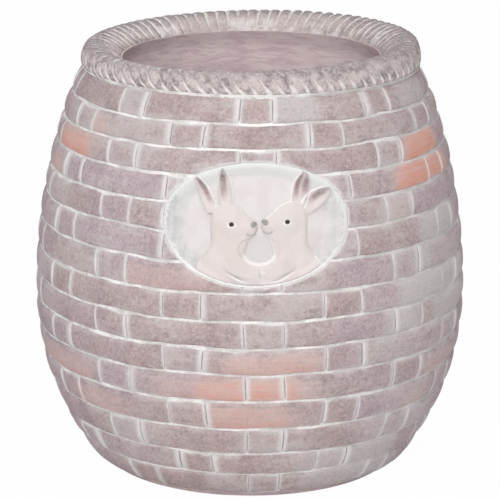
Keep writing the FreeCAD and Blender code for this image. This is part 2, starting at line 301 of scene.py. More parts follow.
def wall(distance, depth):
    """Radius and height of the wall at a distance down its face from the top, and a depth under the face."""
    distance = np.asarray(distance, float)
    shoulder = distance < SHOULDER_LENGTH
    upper = distance < SHOULDER_LENGTH + UPPER_LENGTH
    shoulder_turn = NECK_ANGLE - distance / SHOULDER_ARC
    upper_turn = SHOULDER_ANGLE - (distance - SHOULDER_LENGTH) / UPPER_ARC
    lower_turn = (SHOULDER_LENGTH + UPPER_LENGTH - distance) / LOWER_ARC
    turn = np.where(shoulder, shoulder_turn, np.where(upper, upper_turn, lower_turn))
    arc = np.where(shoulder, SHOULDER_ARC, np.where(upper, UPPER_ARC, LOWER_ARC))
    rise = (UPPER_ARC - SHOULDER_ARC) * shoulder
    centre_radius = BELLY_RADIUS - np.where(upper, UPPER_ARC, LOWER_ARC) + rise * math.cos(SHOULDER_ANGLE)
    centre_height = BELLY_HEIGHT + rise * math.sin(SHOULDER_ANGLE)
    reach = arc - depth
    return centre_radius + reach * np.cos(turn), centre_height + reach * np.sin(turn)


def on_front(along, up, depth):
    """Points on the front of the wall, measured along and up it from the middle of the plaque."""
    distance = PLAQUE_DISTANCE - np.asarray(up, float)
    face_radius, _ = wall(distance, 0.0)
    turn = PLAQUE_TURN + along / face_radius
    radius, height = wall(distance, depth)
    return np.stack(np.broadcast_arrays(radius * np.sin(turn), -radius * np.cos(turn), height), -1)


def mesh_object(name, points, faces):
    mesh = bpy.data.meshes.new(name)
    mesh.from_pydata(np.asarray(points).reshape(-1, 3).tolist(), [], faces)
    return show(bpy.data.objects.new(name, mesh))


def soften(obj, crease):
    """Shades a mesh smooth apart from the edges that turn by more than the crease, in degrees."""
    obj.data.shade_smooth()
    obj.data.set_sharp_from_angle(angle=math.radians(crease))


def tidy_faces(obj, crease=50.0):
    """Turns the faces of a closed mesh outwards and shades it."""
    shape = bmesh.new()
    shape.from_mesh(obj.data)
    bmesh.ops.recalc_face_normals(shape, faces=shape.faces)
    shape.to_mesh(obj.data)
    shape.free()
    soften(obj, crease)


def lathe(name, section, steps, uneven, seed):
    """A closed ring turned from a closed section of (radius, height) points, with a hand-made unevenness."""
    turns = np.linspace(0, 2 * math.pi, steps, endpoint=False)
    radius, height = np.array(section).T
    points = np.empty((steps, len(section), 3))
    points[..., 0] = np.sin(turns)[:, None] * radius
    points[..., 1] = -np.cos(turns)[:, None] * radius
    points[..., 2] = height
    for row in points:
        for point in row:
            push = noise.noise(Vector(point) * BROAD_WAVES + Vector((seed, 0, 0)))
            push += 0.5 * noise.noise(Vector(point) * FINE_WAVES)
            point[:2] *= 1 + uneven * push / max(math.hypot(point[0], point[1]), MM)
    count = len(section)
    faces = []
    for step in range(steps):
        here = step * count
        there = (step + 1) % steps * count
        for place in range(count):
            after = (place + 1) % count
            faces.append((here + place, there + place, there + after, here + after))
    obj = mesh_object(name, points, faces)
    tidy_faces(obj)
    return obj


def settle(obj):
    """Makes plain mesh of an object and its modifiers."""
    result = bpy.data.meshes.new_from_object(obj.evaluated_get(bpy.context.evaluated_depsgraph_get()))
    obj.modifiers.clear()
    obj.data = result


def carve(obj, cutter):
    """Cuts one closed mesh out of another for good."""
    cut = obj.modifiers.new("cut", "BOOLEAN")
    cut.operation = "DIFFERENCE"
    cut.solver = "EXACT"
    cut.object = cutter
    settle(obj)
    soften(obj, 50.0)


def oval_plug(name, widen, depth, reach, steps=96):
    """A closed oval plug through the front of the wall, from a depth in it to a reach outside it."""
    turns = np.linspace(0, 2 * math.pi, steps, endpoint=False)
    along = (PLAQUE_HALF_WIDTH + widen) * np.cos(turns)
    up = (PLAQUE_HALF_HEIGHT + widen) * np.sin(turns)
    rings = [on_front(along, up, depth), on_front(along, up, -reach)]
    rings += [on_front(0.5 * along, 0.5 * up, -reach), on_front(0.5 * along, 0.5 * up, depth)]
    middles = [on_front(np.zeros(1), np.zeros(1), depth), on_front(np.zeros(1), np.zeros(1), -reach)]
    points = np.concatenate(rings + middles)
    faces = []
    for here in range(steps):
        there = (here + 1) % steps
        for low, high in ((0, 1), (1, 2), (3, 0)):
            faces.append((low * steps + here, low * steps + there, high * steps + there, high * steps + here))
        faces.append((3 * steps + there, 3 * steps + here, 4 * steps))
        faces.append((2 * steps + here, 2 * steps + there, 4 * steps + 1))
    obj = mesh_object(name, points, faces)
    tidy_faces(obj)
    return obj


def wear(obj, material, slot, *nodes):
    """Finishes a fixed piece of the pot: its material, its body and the solids it stands for. The slot is not
    used.
    """
    obj.data.materials.clear()
    obj.data.materials.append(material)
    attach(obj, "pot")
    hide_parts(*nodes)


brushed_wash, graph = finish_of("brushed_wash")
spot = graph.spot()
sway = graph.joined(0, 0, (graph.grain(spot, 70.0, 2.0) - 0.5) * 0.007)
wavy = graph.node("ShaderNodeVectorMath", {"operation": "ADD"}, {0: spot, 1: sway})
strokes = graph.grain(graph.stretched(wavy, 70.0, 70.0, 420.0), 1.0, 3.0, 0.6)
blotches = graph.grain(spot, 26.0, 4.0, 0.6)
specks = graph.grain(spot, 900.0, 2.0)
colour = graph.blend(graph.ease(strokes, 0.34, 0.6), WASH_DARK, WASH_MAUVE)
colour = graph.blend(graph.ease(strokes, 0.58, 0.74) * 0.8, colour, WASH_PALE)
colour = graph.blend(graph.ease(blotches * 0.7 + specks * 0.3, 0.46, 0.66) * 0.4, colour, WASH_PALE)
surface(graph, colour, 0.92, strokes * 0.7 + specks * 0.3, 0.6 * MM)

rim_height = NECK_HEIGHT - RIM_DROP
outer_run = np.linspace(1.0 * MM, BRICKWORK_LENGTH + 3.0 * MM, 70)
outer_line = np.stack(wall(outer_run, CORE_DEPTH), -1)
above_foot = outer_line[:, 1] > END_MARGIN
outer_line = outer_line[above_foot & (outer_line[:, 1] < rim_height - END_MARGIN)]
inner_run = np.linspace(SHOULDER_LENGTH, BRICKWORK_LENGTH, 60)
inner_line = np.stack(wall(inner_run, INSIDE_DEPTH), -1)
above_floor = inner_line[:, 1] > FLOOR_THICKNESS + FLOOR_CURVE
inner_line = inner_line[above_floor & (inner_line[:, 1] < COLLAR_FOOT_HEIGHT)]
share = np.linspace(0, 1, 12, endpoint=False)[:, None]
collar_edge = np.array((COLLAR_RADIUS, rim_height - COLLAR_DEPTH))
cove_line = collar_edge + share * (inner_line[0] - collar_edge) + 4 * share * (1 - share) * COLLAR_COVE
face_levels = np.linspace(rim_height + COLLAR_LIP, rim_height - 0.96 * COLLAR_DEPTH, 14)
face_lean = LIP_LEAN * np.maximum(face_levels - rim_height, 0) / COLLAR_LIP
face_line = np.stack((COLLAR_RADIUS - face_lean, face_levels), -1)
inner_line = np.concatenate((face_line, cove_line, inner_line))
foot_radius = outer_line[-1][0]
floor_radius = inner_line[-1][0]
base_line = (
    (foot_radius - EDGE_WIDTH, 0.0),
    (foot_radius - FOOT_RING, 0.0),
    (foot_radius - FOOT_RING - FOOT_SLOPE, FOOT_HOLLOW),
    (DRAIN_RADIUS, FOOT_HOLLOW),
    (DRAIN_RADIUS, FLOOR_THICKNESS),
    (floor_radius - FLOOR_CURVE - 3 * MM, FLOOR_THICKNESS),
    (floor_radius - FLOOR_CURVE / 2, FLOOR_THICKNESS + 0.3 * FLOOR_CURVE),
)
rim_line = (
    (COLLAR_RADIUS - LIP_LEAN + EDGE_WIDTH, rim_height + COLLAR_LIP),
    (COLLAR_RADIUS + 1.6 * MM, rim_height),
    (outer_line[0][0] - MM, rim_height),
)
section = np.concatenate((outer_line, base_line, inner_line[::-1], rim_line))
core = lathe("cast_pot", section, steps=240, uneven=0.35 * MM, seed=3.0)
for vertex in core.data.vertices:
    lift = max(vertex.co.z - rim_height, 0) / COLLAR_LIP
    vertex.co.z += lift * LIP_TILT * math.cos(math.atan2(vertex.co.x, -vertex.co.y) - LIP_HIGH_SIDE)
pocket = oval_plug("pocket", widen=0.0, depth=PLAQUE_BACK + POCKET_ROOM, reach=30 * MM)
carve(core, pocket)
wear(core, brushed_wash, "cast_core", "pot_core")


# The mortar.
# Lime mortar spread over the casting and squeezed up between the tiles, with a bead under the rope. It stands
# nearly flush along the beds and is washed white.
MORTAR_DEPTH = 1.9 * MM
MORTAR_BACK = 4.7 * MM
BEAD_RUN = np.array((-2.6, -2.05, -1.65, -1.25, -0.8)) * MM
BEAD_DEPTH = np.array((1.6, -0.8, -1.4, -1.0, 0.7)) * MM
MORTAR_WHITE = paint(246, 245, 243)
MORTAR_GREY = paint(208, 204, 203)
MORTAR_PAINTED_SHADE = paint(190, 185, 183)

rubbed_mortar, graph = finish_of("rubbed_mortar")
spot = graph.spot()
clouds = graph.grain(spot, 70.0, 4.0, 0.6)
sand = graph.grain(spot, 1100.0, 2.0)
colour = graph.blend(graph.ease(clouds * 0.8 + sand * 0.2, 0.40, 0.62), MORTAR_GREY, MORTAR_WHITE)
# Painted shade: the mortar is greyed towards the right side of the pot.
to_right = graph.ease(graph.parts(spot), 0.02, 0.12)
colour = graph.blend(to_right * 0.6, colour, MORTAR_PAINTED_SHADE)
surface(graph, colour, 0.95, sand, 0.4 * MM)

mortar_run = np.linspace(0.5 * MM, BRICKWORK_LENGTH, 110)
back_run = mortar_run[::-6]
mortar_depth = np.concatenate((BEAD_DEPTH, np.full(len(mortar_run), MORTAR_DEPTH)))
mortar_run = np.concatenate((BEAD_RUN, mortar_run))
face_line = np.stack(wall(mortar_run, mortar_depth), -1)
section = np.concatenate((face_line, np.stack(wall(back_run, MORTAR_BACK), -1)))
mortar = lathe("mortar", section, steps=300, uneven=0.15 * MM, seed=11.0)
carve(mortar, pocket)
wear(mortar, rubbed_mortar, "mortar", "mortar_bed")


# The brick tiles.
# Small unglazed tiles, pressed by hand and bedded in Flemish bond: a short header and a long stretcher in
# turn. Their edges are worn round and hold whitewash, and bare terracotta shows in places.
COURSE_SHARES = (15.5, 15.5, 16.0, 16.5, 17.0, 17.5, 18.0, 17.0, 16.5, 17.0, 18.0, 19.5, 20.0, 18.0, 20.0)
PAIRS_PER_COURSE = 9
HEADER_SHARE = 0.243
FRONT_STRETCH = 0.05
FIRST_TURN = math.radians(1.8)
TURN_PER_COURSE = math.radians(0.23)
BED_JOINT = 0.7 * MM
PERPEND_JOINT = 0.12 * MM
HEADER_SET_BACK = 0.25 * MM
FIRST_LIFT = 2.3 * MM
LINE_LEAD = 4 * MM
LEAST_BRICK = 0.12
OVAL_ROOM = 2 * MM
SEEDS_PER_COURSE = 40
STRETCHER_COLUMNS = 44
HEADER_COLUMNS = 18
TILE_ROWS = 13
# In millimetres, how far a tile's ends lean and how far it is set back, each by chance
LEAN_SPREAD = (-1.6, 1.6)
SET_BACK_SPREAD = (-0.1, 0.25)
BRICK_SIZES = {
    "Thickness": 3.0 * MM,
    "Crown": 1.4 * MM,
    "Corner": 1.2 * MM,
    "Edge width": 1.1 * MM,
    "Edge drop": 0.9 * MM,
    "Course wave": 3.4 * MM,
    "Bed swell": 1.1 * MM,
    "Wobble": 0.9 * MM,
    "Lumps": 0.8 * MM,
}
BRICK_MAUVE = paint(184, 166, 172)
BRICK_BROWN = paint(184, 164, 163)
BRICK_DARK = paint(136, 120, 125)
BRICK_WARM = paint(207, 189, 188)
BRICK_CLAY = paint(215, 185, 177)
BRICK_EMBER = paint(220, 156, 137)
BRICK_WASH = paint(232, 230, 229)
BRICK_GREY = paint(204, 200, 200)
BRICK_HALO = paint(216, 211, 212)
BRICK_CRACK_SHADE = paint(148, 142, 143)
PATCH_EDGE_DEGREES = 8
# Bare terracotta: the course from the top, the turn in degrees where it starts and ends, and how strong it is
TERRACOTTA = (
    (2, -57, -46, 0.5), (3, -76, -52, 0.85), (4, -78, -66, 0.6), (3, 50, 70, 1.1), (4, 44, 74, 1.1),
    (5, 40, 50, 0.35), (7, -36, -8, 0.42), (10, -8, 20, 0.6), (11, -27, 20, 0.45), (11, -16, 15, 0.8),
    (12, -13, 13, 0.65), (11, -74, -45, 0.5), (12, -58, -34, 0.45), (11, 52, 72, 0.4), (12, 44, 60, 0.35),
    (4, 120, 137, 0.7), (8, 150, 172, 0.6), (12, -140, -118, 0.7), (6, -152, -132, 0.6), (13, 95, 112, 0.5),
)
# Patches where a film of whitewash was left on the tiles, in the same way
WHITEWASH = (
    (1, 6, 24, 0.9), (1, 52, 75, 0.7), (2, -75, -52, 0.6), (5, -82, -58, 0.7), (6, 50, 76, 0.9),
    (7, 44, 58, 0.8), (8, 40, 80, 1.0), (9, 36, 50, 1.0), (9, 54, 82, 0.9), (10, 28, 48, 0.6),
    (9, -76, -60, 0.5), (12, 36, 60, 0.5), (13, -46, -24, 0.6), (14, 12, 52, 0.8), (15, -16, 8, 0.6),
    (13, 30, 62, 0.6), (15, 14, 60, 0.8), (14, -70, -48, 0.5), (5, 130, 150, 0.6), (10, -170, -150, 0.6),
)


def new_tree(name, inputs):
    """An empty geometry tree with these named inputs, each with its kind of socket."""
    tree = bpy.data.node_groups.new(name, "GeometryNodeTree")
    tree.interface.new_socket("Geometry", in_out="OUTPUT", socket_type="NodeSocketGeometry")
    for label, kind in inputs.items():
        tree.interface.new_socket(label, in_out="INPUT", socket_type="NodeSocket" + kind)
    return Graph(tree)


def given(graph, name):
    return graph.node("NodeGroupInput", {}, {}, name)


def carried(graph, name, kind="FLOAT"):
    return graph.node("GeometryNodeInputNamedAttribute", {"data_type": kind}, {"Name": name})


def keep(graph, geometry, name, value, kind="FLOAT"):
    """Stores a value on the points of a geometry."""
    sockets = {"Geometry": geometry, "Name": name, "Value": value}
    return graph.node("GeometryNodeStoreNamedAttribute", {"data_type": kind, "domain": "POINT"}, sockets)


def shape_of(graph, name):
    """The geometry of an object that is given to the tree."""
    return graph.node("GeometryNodeObjectInfo", {}, {"Object": given(graph, name)}, "Geometry")


def set_round(graph, geometry, turn, radius, level):
    """Moves the points of a geometry to places round the pot."""
    place = graph.joined(radius * turn.math("SINE"), radius * turn.math("COSINE") * -1, level)
    return graph.node("GeometryNodeSetPosition", {}, {"Geometry": geometry, "Position": place})


def end_tree(graph, geometry):
    """Gives out a geometry as smooth plain mesh with the material that is given to the tree."""
    geometry = graph.node("GeometryNodeSetShadeSmooth", {}, {"Geometry": geometry})
    geometry = graph.node("GeometryNodeRealizeInstances", {}, {"Geometry": geometry})
    sockets = {"Geometry": geometry, "Material": given(graph, "Material")}
    geometry = graph.node("GeometryNodeSetMaterial", {}, sockets)
    graph.node("NodeGroupOutput", {}, {"Geometry": geometry})


def grown(name, graph, start, inputs):
    """A plain mesh object: the tree run on a starting mesh with these inputs."""
    obj = show(bpy.data.objects.new(name, start))
    growth = obj.modifiers.new("growth", "NODES")
    growth.node_group = graph.tree
    for item in graph.tree.interface.items_tree:
        if item.in_out == "INPUT" and item.name in inputs:
            growth[item.identifier] = inputs[item.name]
    settle(obj)
    obj.data.set_sharp_from_angle(angle=math.radians(55))
    return obj


def spread(cell):
    """Moves the rows of a blank towards its edges, where the tile turns over."""
    return cell * 0.4 + (cell * math.pi).math("SINE") * 0.3


brick_inputs = {"Geometry": "Geometry", "Material": "Material", "Cut": "Bool"}
brick_inputs.update({aid: "Object" for aid in ("Wall line", "Oval")})
brick_inputs.update({size: "Float" for size in BRICK_SIZES})
graph = new_tree("brick_bond", brick_inputs)
points = given(graph, "Geometry")
header = carried(graph, "header")
blanks = []
for columns, chosen in ((STRETCHER_COLUMNS, 1 - header), (HEADER_COLUMNS, header)):
    sockets = {"Size": (1, 1, 1), "Vertices X": columns, "Vertices Y": 2, "Vertices Z": TILE_ROWS}
    blank = graph.node("GeometryNodeMeshCube", {}, sockets)
    blank = keep(graph, blank, "cell", graph.node("GeometryNodeInputPosition", {}, {}), "FLOAT_VECTOR")
    sockets = {"Points": points, "Selection": chosen, "Instance": blank}
    blanks.append(graph.node("GeometryNodeInstanceOnPoints", {}, sockets))
bricks = graph.node("GeometryNodeJoinGeometry", {}, {"Geometry": blanks})
bricks = graph.node("GeometryNodeRealizeInstances", {}, {"Geometry": bricks})
cell = graph.parts(carried(graph, "cell", "FLOAT_VECTOR"))
across = spread(cell) + 0.5
up = spread(cell.out("Z")) + 0.5
front = 0.5 - cell.out("Y")
start, end, top, foot = [carried(graph, name) for name in ("start", "end", "top", "foot")]
seed = carried(graph, "seed")
turn = start + (end - start) * across
distance = foot + (top - foot) * up
spot = graph.joined(turn * BELLY_RADIUS, distance, seed)
sway = graph.grain(graph.joined(distance, seed, turn * BELLY_RADIUS), 75.0, 2.0) - 0.5
lean = carried(graph, "lean_start") * (1 - across) + carried(graph, "lean_end") * across
turn = turn + (sway * across * (1 - across) * given(graph, "Wobble") * 4 + lean * (up - 0.5)) / BELLY_RADIUS
waves = []
for bed in (foot + BED_JOINT / 2, top - BED_JOINT / 2):
    wave = graph.grain(graph.joined(turn * BELLY_RADIUS, bed * 4, 0), 26.0, 2.0) - 0.5
    waves.append(wave * given(graph, "Course wave"))
wobble = (graph.grain(spot, 90.0, 2.0) - 0.5) * given(graph, "Wobble")
thick_bed = graph.ease(graph.grain(graph.joined(turn * BELLY_RADIUS, top * 4, 0.3), 17.0, 2.0), 0.5, 0.7)
swell = thick_bed * up * up * given(graph, "Bed swell")
distance = distance + waves[0] + (waves[1] - waves[0]) * up + wobble + swell
sockets = {"Curves": shape_of(graph, "Wall line"), "Length": distance + LINE_LEAD}
by_length = {"mode": "LENGTH", "use_all_curves": True}
sample = graph.node("GeometryNodeSampleCurve", by_length, sockets, "Position")
on_line = graph.parts(sample)
slope = graph.parts(sample.out("Tangent"))
width = (end - start) * on_line
height = foot - top
along = (turn - PLAQUE_TURN) * on_line / PLAQUE_HALF_WIDTH
rise = (PLAQUE_DISTANCE - distance) / PLAQUE_HALF_HEIGHT
oval_gap = ((along * along + rise * rise).math("SQRT") - 1) * PLAQUE_HALF_HEIGHT
corner = given(graph, "Corner")
side_lack = (corner - across.least(1 - across) * width).most(0)
bed_lack = (corner - up.least(1 - up) * height).most(0)
gap = corner - (side_lack * side_lack + bed_lack * bed_lack).math("SQRT")
gap = gap.least(oval_gap).most(0)
slack = 1 - (gap / given(graph, "Edge width")).least(1)
turned_over = 1 - (1 - slack * slack).math("SQRT")
lumps = graph.grain(spot, 120.0, 3.0) - 0.5
crown = given(graph, "Crown") * (up * 2 - 1).math("ABSOLUTE") ** 3.0
depth = carried(graph, "set_back") + crown + given(graph, "Edge drop") * turned_over
depth = depth - lumps * given(graph, "Lumps")
thickness = given(graph, "Thickness")
depth = thickness + (depth - thickness) * front
radius = on_line + slope.out("Z") * depth
level = on_line.out("Z") - slope * depth
bricks = keep(graph, bricks, "place", graph.joined(across * width, up * height, oval_gap), "FLOAT_VECTOR")
bricks = keep(graph, bricks, "extent", graph.joined(width, height, seed), "FLOAT_VECTOR")
bricks = set_round(graph, bricks, turn, radius, level)
sockets = {"Geometry": bricks, "Selection": carried(graph, "near_oval")}
near = graph.node("GeometryNodeSeparateGeometry", {"domain": "POINT"}, sockets)
sockets = {"Mesh 1": near, "Mesh 2": shape_of(graph, "Oval"), "Self Intersection": True}
cut = graph.node("GeometryNodeMeshBoolean", {"operation": "DIFFERENCE", "solver": "EXACT"}, sockets)
cut = graph.node("GeometryNodeJoinGeometry", {}, {"Geometry": [near.out("Inverted"), cut]})
sockets = {"Switch": given(graph, "Cut"), "False": bricks, "True": cut}
bricks = graph.node("GeometryNodeSwitch", {"input_type": "GEOMETRY"}, sockets)
end_tree(graph, bricks)
brick_bond = graph

washed_brick, graph = finish_of("washed_brick")
spot = graph.spot()
place = graph.parts(graph.reading("place", "Vector"))
extent = graph.parts(graph.reading("extent", "Vector"))
from_foot = place.out("Y")
from_top = extent.out("Y") - from_foot
seed = extent.out("Z")
by_number = {"noise_dimensions": "1D"}
chance, end_chance, start_chance = [
    graph.node("ShaderNodeTexWhiteNoise", by_number, {"W": seed + shift}) for shift in (0.1, 0.4, 0.7)
]
header = graph.fade(extent, 0.020, 0.028)
stipple = graph.grain(spot, 560.0, 4.0, 0.8)
pits = graph.grain(spot, 950.0, 2.0, 0.6)
mottle = graph.grain(spot, 75.0, 3.0, 0.6)
clouds = graph.grain(spot, 24.0, 3.0, 0.55)
ragged = graph.grain(spot, 300.0, 3.0, 0.65) - 0.5
streaks = graph.grain(graph.stretched(spot, 30.0, 30.0, 330.0), 1.0, 3.0, 0.6) - 0.5
sideways = graph.parts(spot)
middle = graph.fade(sideways.math("ABSOLUTE"), 0.03, 0.09)
to_right = graph.ease(sideways, 0.03, 0.12)
colour = graph.blend(graph.ease(clouds + chance * 0.3 + middle * 0.2, 0.5, 0.8), BRICK_MAUVE, BRICK_BROWN)
colour = graph.blend(graph.ease(mottle, 0.55, 0.3) * 0.3 + chance * 0.12, colour, BRICK_DARK)
colour = graph.blend(graph.ease(stipple, 0.5, 0.68) * 0.75, colour, BRICK_WARM)
colour = graph.blend(graph.ease(stipple, 0.48, 0.32) * 0.75, colour, BRICK_DARK)
colour = graph.blend(graph.ease(pits, 0.43, 0.28) * 0.5, colour, BRICK_DARK)
film = graph.ease(clouds + streaks * 0.4 + ragged * 0.5 + end_chance * 0.25, 0.58, 0.84) * 0.5
left_film = graph.ease(graph.reading("film") + streaks * 0.6 + ragged * 0.9, 0.1, 1.1) * (0.3 + stipple * 0.8)
colour = graph.blend(film.most(left_film), colour, BRICK_GREY)
clay = graph.reading("clay")
lower = graph.ease(from_top + streaks * 0.004, 0.0010, 0.0060)
bare = graph.ease(clay + streaks * 0.35 + ragged * 0.15 - (1 - lower) * 0.35, 0.05, 0.95)
brushed = graph.grain(graph.stretched(spot, 45.0, 45.0, 900.0), 1.0, 2.0) - 0.5
near_foot = graph.fade(from_foot + ragged * 0.003, 0.0, 0.009)
fire = brushed * 0.7 + (mottle - 0.5) * 0.6 + near_foot * 0.25 + (clay - 0.6) * 0.6
ember = graph.blend(graph.ease(fire, -0.1, 0.5) * 0.95, BRICK_CLAY, BRICK_EMBER)
colour = graph.blend(bare * 0.85, colour, ember)
from_end = extent - place
from_oval = place.out("Z")
edge_gap = place.least(from_end, from_oval + 0.001, from_top, from_foot)
halo = graph.fade(edge_gap + ragged * 0.008, 0.0002, 0.0042) * graph.ease(mottle + header * 0.1, 0.40, 0.66)
smear = graph.fade(from_oval + ragged * 0.008, 0.001, 0.010) * graph.ease(mottle, 0.34, 0.62)
colour = graph.blend(halo * 0.45 + smear * 0.4, colour, BRICK_HALO)
patchy = 0.45 + graph.ease(mottle, 0.35, 0.6) * 0.55
top_reach = header * 0.0022 * chance + 0.0006
top_wash = graph.fade(from_top + ragged * 0.0012, 0.0002, top_reach) * patchy
foot_wash = graph.fade(from_foot + ragged * 0.0010, 0.0001, 0.0006) * patchy * 0.8
oval_wash = graph.fade(from_oval + ragged * 0.003, 0.0001, 0.0014) * 0.75
side_washes = []
crack_shades = []
# Side washes, and painted shade: each tile end may get a thin dark line for the shadow in the narrow joint.
for gap, luck in ((place, start_chance), (from_end, end_chance)):
    reach = luck ** 3.0 * 0.0035 + 0.0008
    side_washes.append(graph.fade(gap + ragged * 0.0020, reach * 0.3, reach * 1.7) * 0.72)
    crack_shades.append(graph.fade(gap + ragged * 0.0006, 0.00005, 0.00045) * luck ** 2.0 * 0.85)
wash = top_wash.most(foot_wash, *side_washes, oval_wash)
# Painted shade: the whitewash is weakened towards the right side of the pot.
colour = graph.blend(wash * (1 - to_right * 0.35), colour, BRICK_WASH)
# Painted shade in the narrow joints between tile ends.
colour = graph.blend(crack_shades[0].most(crack_shades[1]), colour, BRICK_CRACK_SHADE)
surface(graph, colour, 0.93, stipple * 0.7 + pits * 0.3, 0.8 * MM)


def laid(share, course):
    """The turn round the wall of a place in the bond, counted in pairs from the front."""
    even = 2 * math.pi * share / PAIRS_PER_COURSE
    return even + FRONT_STRETCH * math.sin(even) + FIRST_TURN + TURN_PER_COURSE * course


def outside_oval(start, end, top, foot):
    """The share of a tile that the plaque leaves, with a little room for its wavy edges."""
    levels = np.linspace(top - OVAL_ROOM, foot + OVAL_ROOM, 9)
    turn, distance = np.meshgrid(np.linspace(start, end, 15), levels)
    along = (turn - PLAQUE_TURN) * wall(distance, 0.0)[0] / PLAQUE_HALF_WIDTH
    return np.mean(np.hypot(along, (PLAQUE_DISTANCE - distance) / PLAQUE_HALF_HEIGHT) > 1)


def mark(mesh, name, values):
    """Stores a value on each point of a mesh."""
    mesh.attributes.new(name, "FLOAT", "POINT").data.foreach_set("value", np.asarray(values, float).ravel())


def patched(obj, course, label, patches):
    """Marks on the tiles of one course the patches that a table gives, with soft ends."""
    spots = np.empty(len(obj.data.vertices) * 3)
    obj.data.vertices.foreach_get("co", spots)
    x, y, _ = spots.reshape(-1, 3).T
    turn = np.degrees(np.arctan2(x, -y))
    share = np.zeros(len(turn))
    for row, first, last, strength in patches:
        if row == course + 1:
            window = np.clip(np.minimum(turn - first, last - turn) / PATCH_EDGE_DEGREES + 0.5, 0, 1)
            share = np.maximum(share, strength * window)
    mark(obj.data, label, share)


wall_curve = bpy.data.curves.new("wall_line", "CURVE")
wall_curve.dimensions = "3D"
wall_points = np.stack(wall(np.linspace(-LINE_LEAD, BRICKWORK_LENGTH + LINE_LEAD, 500), 0.0), -1)
spline = wall_curve.splines.new("POLY")
spline.points.add(len(wall_points) - 1)
for point, (radius, height) in zip(spline.points, wall_points):
    point.co = (radius, 0, height, 1)
wall_line = show(bpy.data.objects.new("wall_line", wall_curve))
opening = oval_plug("opening", widen=0.1 * MM, depth=12 * MM, reach=8 * MM)
course_lines = BRICKWORK_LENGTH * np.cumsum((0,) + COURSE_SHARES) / sum(COURSE_SHARES)
draw = np.random.default_rng(5)
for course in range(len(COURSE_SHARES)):
    top = course_lines[course] + BED_JOINT / 2 - FIRST_LIFT * (course == 0)
    foot = course_lines[course + 1] - BED_JOINT / 2
    joint = PERPEND_JOINT / wall((top + foot) / 2, 0.0)[0]
    tiles = []
    leans = draw.uniform(*LEAN_SPREAD, 2 * PAIRS_PER_COURSE) * MM
    for pair in range(PAIRS_PER_COURSE):
        middle = pair + 0.5 * (course % 2)
        shifts = (-HEADER_SHARE / 2, HEADER_SHARE / 2, 1 - HEADER_SHARE / 2)
        edges = [laid(middle + shift, course) for shift in shifts]
        for short in (1, 0):
            start = edges[1 - short] + joint / 2
            end = edges[2 - short] - joint / 2
            turned_start = (start + math.pi) % (2 * math.pi) - math.pi
            turned_end = turned_start + end - start
            set_back = HEADER_SET_BACK * short + draw.uniform(*SET_BACK_SPREAD) * MM
            first_end = 2 * pair + 1 - short
            left = outside_oval(turned_start, turned_end, top, foot)
            if left > LEAST_BRICK:
                tiles.append({
                    "start": turned_start,
                    "end": turned_end,
                    "top": top,
                    "foot": foot,
                    "set_back": set_back,
                    "seed": len(tiles) + SEEDS_PER_COURSE * course,
                    "header": short,
                    "lean_start": leans[first_end],
                    "lean_end": leans[(first_end + 1) % len(leans)],
                    "near_oval": left < 1,
                })
    row_mesh = bpy.data.meshes.new("course")
    row_mesh.from_pydata([(0, 0, 0)] * len(tiles), [], [])
    for name in tiles[0]:
        mark(row_mesh, name, [tile[name] for tile in tiles])
    any_near = any(tile["near_oval"] for tile in tiles)
    inputs = {"Wall line": wall_line, "Oval": opening, "Cut": any_near, "Material": washed_brick}
    inputs.update(BRICK_SIZES)
    row = grown(f"tiles_{course + 1:02d}", brick_bond, row_mesh, inputs)
    patched(row, course, "clay", TERRACOTTA)
    patched(row, course, "film", WHITEWASH)
    wear(row, washed_brick, "brick_tile", f"brick_course_{course + 1:02d}")


# The rope rim.
# A wide rope moulding of the same cast stone on the collar, pressed with slanting ribs and a little uneven
# all round. The grooves between the ribs are picked out with whitewash, most at their feet.
RIBS = 84
ROPE_SIZES = {
    "Inner radius": 81.3 * MM,
    "Foot level": 247.7 * MM,
    "Width": 24.0 * MM,
    "Height": 20.0 * MM,
    "Ribs": float(RIBS),
    "Slant": math.tan(math.radians(28)),
    "Groove": 2.3 * MM,
    "Unevenness": 0.5,
    "Lumps": 1.0 * MM,
    "Settling": 1.5 * MM,
    "Tilt": 2.4 * MM,
    "High side turn": LIP_HIGH_SIDE,
}
# The section, from the outer foot round over the top, in millimetres out from the inner edge and up
ROPE_SECTION = (
    (21.8, 0.0), (22.4, 3.4), (23.7, 6.2), (24.0, 9.6), (23.0, 14.8), (20.9, 18.8),
    (16.6, 20.0), (10.4, 18.6), (4.8, 15.4), (1.0, 12.0), (-0.9, 9.2), (2.8, 0.0),
)
ROPE_CORNERS = ((21.8, 0.0), (-0.9, 9.2), (2.8, 0.0))
ROPE_FACE = 24 * MM
STEPS_PER_RIB = 14
STEPS_ABOUT = 60
ROPE_MAUVE = paint(201, 188, 188)
ROPE_DARK = paint(146, 135, 137)
ROPE_WARM = paint(212, 200, 199)
ROPE_PINK = paint(197, 183, 182)
ROPE_WASH = paint(238, 235, 233)

section_curve = bpy.data.curves.new("rope_section", "CURVE")
section_curve.dimensions = "3D"
spline = section_curve.splines.new("BEZIER")
spline.bezier_points.add(len(ROPE_SECTION) - 1)
spline.use_cyclic_u = True
for point, (out, up) in zip(spline.bezier_points, ROPE_SECTION):
    point.co = (out * MM, 0, up * MM)
    bend = "VECTOR" if (out, up) in ROPE_CORNERS else "AUTO"
    point.handle_left_type = bend
    point.handle_right_type = bend
rope_section = show(bpy.data.objects.new("rope_section", section_curve))

